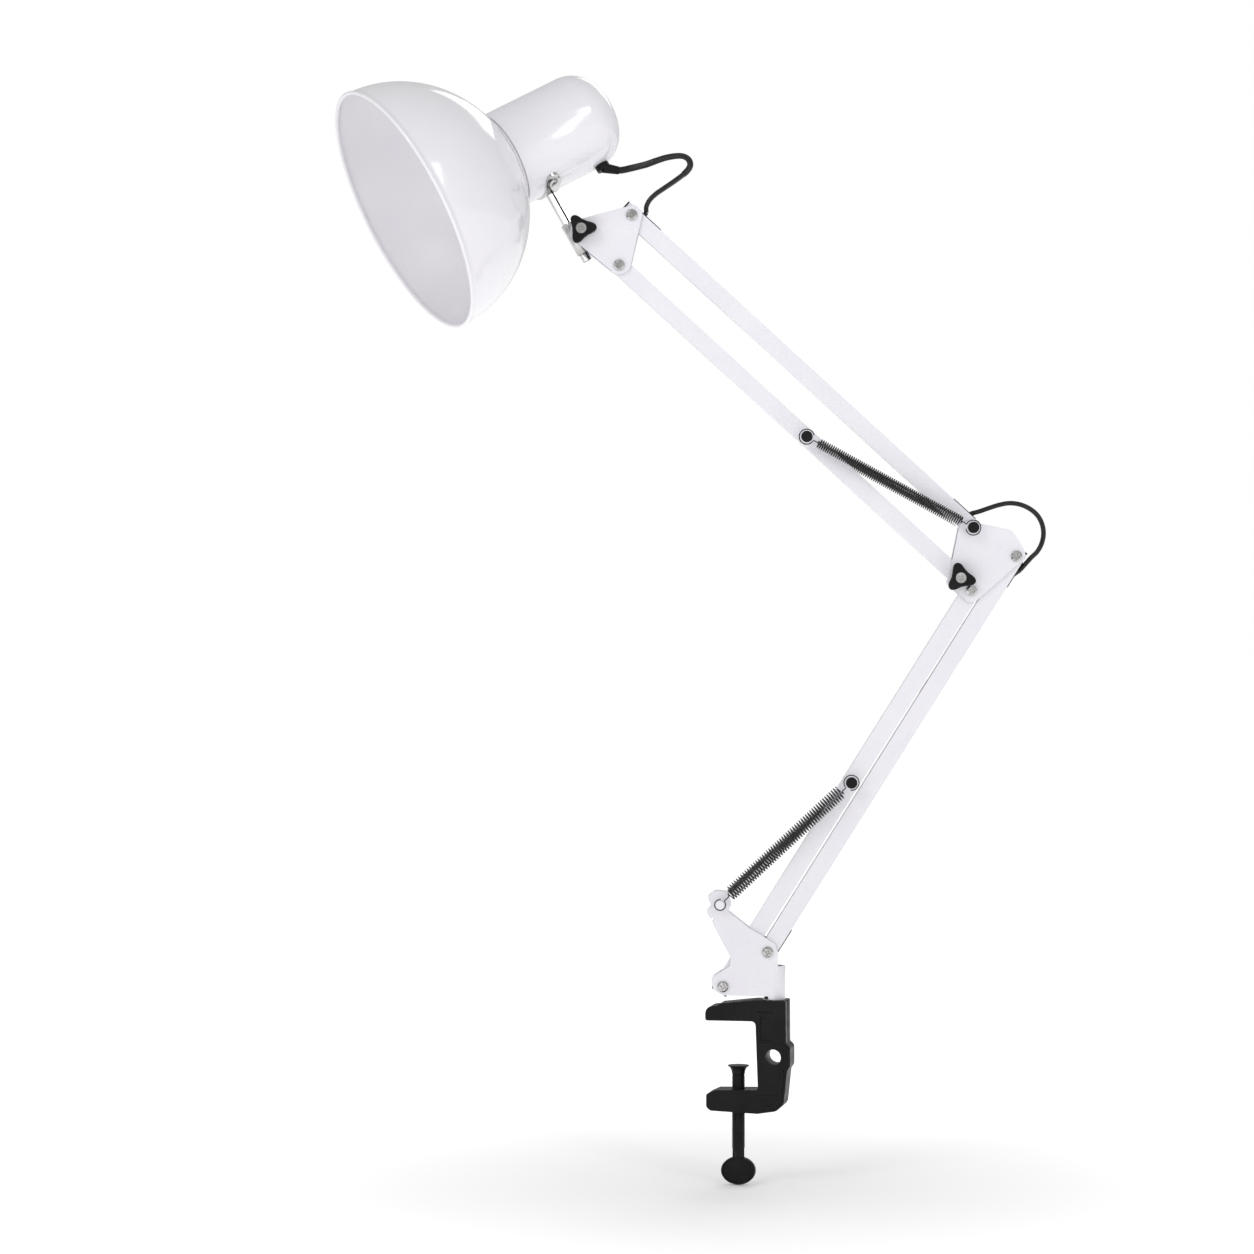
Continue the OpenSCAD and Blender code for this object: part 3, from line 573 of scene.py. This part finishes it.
def add_plug():
    """Two pin plug with a ribbed grip and a tapered strain relief."""
    place = HANK @ Matrix.Translation(Vector((24, 20.5, 0)) * MM)

    def block(name, low, high, radius, slot="black_plastic", segments=2):
        return rounded_block(name, low, high, radius, place, slot, segments)

    body = block("plug_body", (0, 0.4, -5.2), (25, 22, 5.2), 2.4, segments=3)
    parts = [block("plug_face", (24.4, 1.6, -4.6), (26, 20.8, 4.6), 0.6)]
    for i in range(GRIP_RIBS):
        x = 11 + i * 2.6
        parts.append(block(f"plug_grip_{i + 1}", (x, 3.4, -5.5), (x + 1.2, 19, 5.5), 0.5))
    for i, side in enumerate((-1, 1)):
        y = PLUG_MIDDLE + side * PIN_SPACING / 2
        parts.append(block(f"plug_blade_{i + 1}", (25.6, y - 0.75, -3.2), (43, y + 0.75, 3.2),
                           0.5, "brass"))
    boot = [(0.2, -1), (4.6, -1), (4.6, 0)]
    for i in range(5):
        r, z = 4.4 - i * 0.36, i * 3
        boot += [(r, z + 1), (r - 0.1, z + 2.2), (r - 0.7, z + 2.3), (r - 0.8, z + 3.2)]
    boot += [(2.6, 16), (0.2, 16)]
    axis = (place @ Matrix.Translation(Vector((0, PLUG_MIDDLE, 0)) * MM)
            @ Matrix.Rotation(-math.pi / 2, 4, "Y"))
    profile = [(r * MM, z * MM) for r, z in boot]
    parts.append(lathe("plug_boot", profile, axis, "black_plastic", 32))
    for part in parts:
        part.parent = body
    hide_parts("lead_plug")
    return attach(body, "lower_right")


TIE_AT = 37
TIE_CORNER = 2


def add_tie():
    """Band round the hank and the plug, with its end folded over."""
    ring = []
    for y, z, a0 in ((43, 5.6, 0), (-20.9, 5.6, 90), (-20.9, -5.6, 180), (43, -5.6, 270)):
        corner_y = y - math.copysign(TIE_CORNER, y)
        corner_z = z - math.copysign(TIE_CORNER, z)
        for t in (math.radians(a + a0) for a in (0, 30, 60, 90)):
            ring.append((TIE_AT, corner_y + TIE_CORNER * math.cos(t),
                         corner_z + TIE_CORNER * math.sin(t)))
    path = smooth_curve(in_frame(HANK, [*ring, ring[0]]), LEAD_STEP)
    across = (HANK.to_3x3() @ Vector((1, 0, 0))).normalized()
    w, t = 5 * MM, 0.45 * MM
    section = [(-w, -t), (w, -t), (w + t / 2, 0), (w, t), (-w, t), (-w - t / 2, 0)]
    band = sweep("lead_band", path, section, across, "black_plastic")
    end = rounded_block("lead_band_end", (31.5, 4, 5.5), (42.5, 20, 6.3), 0.35, HANK,
                        "black_plastic", 2)
    end.parent = band
    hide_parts("lead_tie")
    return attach(band, "lower_right")


# ---- Springs ----

WIRE_R = 0.4 * MM
LEAD_IN = 8.4 * MM
SPRING_Y = 13.2 * MM
RING_RISE = 0.5 * MM
STEPS_PER_TURN = 12

# Radius and pitch of the coil, radius of the ring at the foot and at the end, in millimetres
LOWER_SPRING = (4, 2, 3.7, 5.1)
UPPER_SPRING = (3.2, 1.55, 5.1, 5.1)


def spring_path(length, radius, pitch, foot_ring, end_ring):
    """Wire of a tension spring along X: the coil, and at each end a ring round its post."""
    def ring(r):
        return [Vector((r * math.cos(a), RING_RISE * a / math.tau, r * math.sin(a)))
                for a in (math.radians(d) for d in range(-320, 1, 16))]

    coil = length - 2 * LEAD_IN
    steps = round(coil / pitch) * STEPS_PER_TURN
    body = []
    for i in range(steps + 1):
        a = math.tau * i / STEPS_PER_TURN
        grow = min(1, (i + 2) / STEPS_PER_TURN, (steps - i + 2) / STEPS_PER_TURN)
        body.append(Vector((LEAD_IN + coil * i / steps,
                            radius * grow * math.cos(a), radius * grow * math.sin(a))))
    last = [Vector((length - p.x, p.y, -p.z)) for p in reversed(ring(end_ring))]
    return [*ring(foot_ring), *body, *last]


def add_spring(name, foot, end, side, shape, nodes):
    """Spring between two posts, in front of the tubes (side -1) or behind them (1)."""
    along = end - foot
    place = frame_at(foot + side * SPRING_Y * DEPTH, along, DEPTH)
    path = [place @ p for p in spring_path(along.length, *(v * MM for v in shape))]
    piece = sweep(name, path, round_section(WIRE_R, 7), DEPTH, "black_spring")
    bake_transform(piece)
    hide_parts(*nodes)


def add_springs():
    for label, side in (("front", -1), ("rear", 1)):
        add_spring(f"lower_spring_{label}", ANCHOR, LOWER_POST, side, LOWER_SPRING,
                   ["lower_spring_coils", "lower_spring_hooks"])
        add_spring(f"upper_spring_{label}", ELBOW_TOP, UPPER_POST, side, UPPER_SPRING,
                   ["upper_spring_coils", "upper_spring_hooks"])


# ---- Shade ----

# In millimetres, in the head's frame, as the CAD has them
SHADE_R = 86.5
SHADE_DEPTH = 83.5
SHADE_RIM = 97
SHEET = 1
CUP_R = 33.5
BEAD_R = 1.35


def dome(inset, start, end, count=44):
    """Arc of the bowl's section between two angles from its axis, as (radius, height)."""
    out = []
    for i in range(count + 1):
        a = math.radians(start + (end - start) * i / count)
        out.append(((SHADE_R - inset) * math.sin(a),
                    SHADE_RIM - (SHADE_DEPTH - inset) * math.cos(a)))
    return out


def add_shade():
    """Spun dome: a collar in the cup, a small step at the neck, the bowl, and a rolled rim."""
    throat = math.degrees(math.asin((CUP_R + 0.2) / SHADE_R))
    neck = CUP_R - SHEET - 0.1
    bead = [(SHADE_R - 0.5 + BEAD_R * math.cos(a), SHADE_RIM + 0.2 + BEAD_R * math.sin(a))
            for a in (math.radians(d) for d in range(-40, 221, 13))]
    outer = dome(0, throat, 89)
    inner = dome(SHEET, 88.6, throat - 1)
    collar_in = [(neck - 1, 19.4), (neck - 1, 9.4), (neck - 2, 8.6), (20.6, 8.6), (20.3, 8.3),
                 (20.3, 8)]
    collar_out = [(neck - 0.6, 8), (neck, 8.6), (neck, 18.6), (CUP_R - 0.5, 18.9),
                  (CUP_R + 0.1, 19.3)]
    profile = [*outer, *bead, *inner, *collar_in, *collar_out]
    shade = lathe("shade_bowl", [(r * MM, z * MM) for r, z in profile], HEAD, "shade_enamel", 144)
    shade.data.materials.append(LINING)
    # The lining covers the inside, from the middle of the bead to the end of the collar
    first = len(outer) + len(bead) // 2
    last = first + len(bead) // 2 + len(inner) + len(collar_in) - 1
    for i, face in enumerate(shade.data.polygons):
        if first <= i % len(profile) < last:
            face.material_index = 1
    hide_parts("lamp_shade")
    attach(shade, "head")


# ---- Clamp screw ----

SCREW_AXIS = Vector((PIVOT["screw_turn"].x, PIVOT["screw_turn"].y, 0))
CLAMP_YAW = math.atan2(-SCREW_AXIS.y, PIVOT["base_swivel"].x - SCREW_AXIS.x)
SCREW = Matrix.Translation(SCREW_AXIS) @ Matrix.Rotation(CLAMP_YAW, 4, "Z")

# In millimetres, in the screw's frame
SCREW_R = 4.45
SCREW_FLAT = 4.0
SCREW_TOP = -37.2
SCREW_BOTTOM = -88
RING_STEP = 0.2
THREAD_PITCH = 1.25
THREAD_DEPTH = 0.45
GROOVE_AT = 1.5
GROOVE_HALF = 0.3
GROOVE_DEPTH = 0.5
NECK_FLUTES = 8
PADDLE_WIDE = 11.75
PADDLE_HIGH = 9.5
PADDLE_Z = -102.6


def spindle_ring(z, n=72):
    """One ring of the threaded spindle, which has a flat with two grooves on either side."""
    fade = max(0, min(1, z - SCREW_BOTTOM, SCREW_TOP - z))
    out = []
    for k, (c, s) in enumerate(circle(n)):
        wave = abs((z / THREAD_PITCH - k / n) % 1 - 0.5) * 2
        r = SCREW_R - THREAD_DEPTH + THREAD_DEPTH * fade * min(1, wave * 1.3)
        x, y = r * c, r * s
        groove = GROOVE_DEPTH if abs(abs(x) - GROOVE_AT) < GROOVE_HALF else 0
        limit = SCREW_FLAT - 0.1 * (1 - wave) - groove
        out.append((x, max(-limit, min(limit, y)), z))
    return out


def add_clamp_screw():
    """Threaded spindle, its fluted neck, and the oval paddle with a raised rim."""
    reach = SCREW_TOP - SCREW_BOTTOM
    count = round(reach / RING_STEP)
    rings = [spindle_ring(SCREW_BOTTOM + reach * i / count) for i in range(count + 1)]
    n = len(rings[0])
    faces = [(i * n + k, i * n + (k + 1) % n, (i + 1) * n + (k + 1) % n, (i + 1) * n + k)
             for i in range(count) for k in range(n)]
    faces += [tuple(reversed(range(n))), tuple(range(count * n, (count + 1) * n))]
    mesh = bpy.data.meshes.new("clamp_spindle")
    mesh.from_pydata(in_frame(SCREW, [p for ring in rings for p in ring]), [], faces)
    mesh.shade_smooth()
    spindle = add_object("clamp_spindle", mesh, "black_plastic")
    neck = [(0.2, -94.2), (4, -94.2), (4.3, -93.6), (4.3, -88.4), (3.9, -87.6), (0.2, -87.6)]
    collar = lathe("clamp_neck", [(r * MM, z * MM) for r, z in neck], SCREW, "black_plastic", 96)
    for v in collar.data.vertices:
        out = v.co - Vector((SCREW_AXIS.x, SCREW_AXIS.y, v.co.z))
        if out.length > 3 * MM:
            v.co -= out * 0.08 * (1 + math.cos(NECK_FLUTES * math.atan2(out.y, out.x)))
    tip = [(0.2, -37.6), (2.5, -37.6), (2.5, -34.6), (2.1, -34.1), (0.2, -34.1)]
    ball = lathe("clamp_tip", [(r * MM, z * MM) for r, z in tip], SCREW, "black_plastic", 32)
    for part in (collar, ball, add_paddle()):
        part.parent = spindle
    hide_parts("clamp_screw")
    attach(spindle, "screw")


def add_paddle():
    """Oval grip: a flat web in a raised rim."""
    place = SCREW @ Matrix.Translation(Vector((0, 0, PADDLE_Z)) * MM)
    front = [(1, 1.9), (0.985, 2.5), (0.955, 2.8), (0.91, 2.8), (0.88, 2.4), (0.86, 1.7),
             (0.84, 1.5)]
    rings = [(part, -y) for part, y in reversed(front)] + front
    n = 96
    verts = in_frame(place, [(PADDLE_WIDE * part * c, y, PADDLE_HIGH * part * s)
                             for part, y in rings for c, s in circle(n)])
    faces = [((i + 1) * n + k, (i + 1) * n + (k + 1) % n, i * n + (k + 1) % n, i * n + k)
             for i in range(len(rings) - 1) for k in range(n)]
    faces += [tuple(range(n)), tuple(reversed(range(len(verts) - n, len(verts))))]
    mesh = bpy.data.meshes.new("clamp_paddle")
    mesh.from_pydata(verts, [], faces)
    mesh.shade_smooth()
    mesh.polygons[-1].use_smooth = mesh.polygons[-2].use_smooth = False
    return add_object("clamp_paddle", mesh, "black_plastic")


# ---- CAD parts that are kept ----

# Width of the softened edges, in millimetres
EDGE_WIDTH = {"black_plastic": 0.5, "white_paint": 0.25, "nickel": 0.2, "shade_enamel": 0.2,
              "socket_white": 0.4, "brass": 0.1, "black_flex": 0.1, "black_spring": 0.1}
WELD_REACH = 0.001 * MM
FLAT_ANGLE = math.radians(0.5)
EDGE_ANGLE = math.radians(35)


def dress(node, slot):
    """Material and softened edges on a CAD part."""
    obj = frame["nodes"][node]
    for s in obj.material_slots:
        s.material = LOOKS[slot]
    weld = obj.modifiers.new("weld", "WELD")
    weld.merge_threshold = WELD_REACH
    planes = obj.modifiers.new("planes", "DECIMATE")
    planes.decimate_type = "DISSOLVE"
    planes.angle_limit = FLAT_ANGLE
    bevel = obj.modifiers.new("edges", "BEVEL")
    bevel.width = EDGE_WIDTH[slot] * MM
    bevel.segments = 2
    bevel.limit_method = "ANGLE"
    bevel.angle_limit = EDGE_ANGLE
    bevel.harden_normals = True


def dress_parts():
    """Dress every CAD part that no piece above replaces."""
    for part in frame["record"]["subparts"]:
        if not frame["nodes"][part["node"]].hide_render:
            dress(part["node"], part["material_slot"])


# ---- Floor and light ----

FLOOR_R = 40
FLOOR_GAP = 0.5 * MM


def add_floor():
    """White paper just below the object. Its glow grows with distance, into the background."""
    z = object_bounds()[0][2] - FLOOR_GAP
    rim = [(FLOOR_R * c, FLOOR_R * s, z) for c, s in circle(64)]
    mesh = bpy.data.meshes.new("floor")
    mesh.from_pydata(rim, [], [tuple(range(len(rim)))])
    floor = bpy.data.objects.new("floor", mesh)
    bpy.context.scene.collection.objects.link(floor)
    look = Look("studio_paper", 0.8)
    clouds = look.spread(look.noise(3, 3), 0, 1)
    look.colour(look.mixed(clouds, (0.9, 0.9, 0.9), (0.93, 0.93, 0.93)))
    distance = look.nodes.new("ShaderNodeVectorMath")
    distance.operation = "LENGTH"
    look.links.new(look.place, distance.inputs[0])
    glow = look.spread(distance.outputs["Value"], 0.08, 0.5, 0.05, 0.5)
    look.links.new(glow, look.shader.inputs["Emission Strength"])
    look.shader.inputs["Emission Color"].default_value = (1, 1, 1, 1)
    mesh.materials.append(look.material)


def add_light(name, place, target, size, power):
    """Soft box at a place in metres, aimed at a target, with its power in watts."""
    data = bpy.data.lights.new(name, "AREA")
    data.shape = "RECTANGLE"
    data.size, data.size_y = size
    data.energy = power
    light = bpy.data.objects.new(name, data)
    bpy.context.scene.collection.objects.link(light)
    light.location = place
    light.rotation_euler = (Vector(target) - Vector(place)).to_track_quat("-Z", "Y").to_euler()


WORLD_LIGHT = 0.58
WORLD_SEEN = 1.0


def add_studio():
    """Soft light from all round, which looks white behind the object, and four soft boxes."""
    world = bpy.data.worlds.new("studio")
    bpy.context.scene.world = world
    world.use_nodes = True
    nodes, links = world.node_tree.nodes, world.node_tree.links
    rays = nodes.new("ShaderNodeLightPath")
    strength = nodes.new("ShaderNodeMapRange")
    strength.inputs["To Min"].default_value = WORLD_LIGHT
    strength.inputs["To Max"].default_value = WORLD_SEEN
    links.new(rays.outputs["Is Camera Ray"], strength.inputs["Value"])
    links.new(strength.outputs["Result"], nodes["Background"].inputs["Strength"])
    nodes["Background"].inputs["Color"].default_value = (1, 1, 1, 1)
    add_light("key", (-1.6, -2.2, 2.2), (-0.05, 0, 0.4), (1.2, 1.2), 16)
    add_light("strip", (0.9, -1.6, 1.1), (-0.1, 0, 0.5), (0.3, 1.4), 5)
    add_light("low", (-1.3, -1.3, 0.15), (-0.2, 0, 0.56), (0.5, 0.5), 0.9)
    add_light("back", (0.6, 1.8, 1.8), (-0.05, 0, 0.35), (1.2, 0.8), 6)
    bpy.context.scene.view_settings.view_transform = "Standard"


add_camera()
add_head_flex()
add_elbow_flex()
add_mains_lead()
add_springs()
add_shade()
add_clamp_screw()
dress_parts()
add_floor()
add_studio()
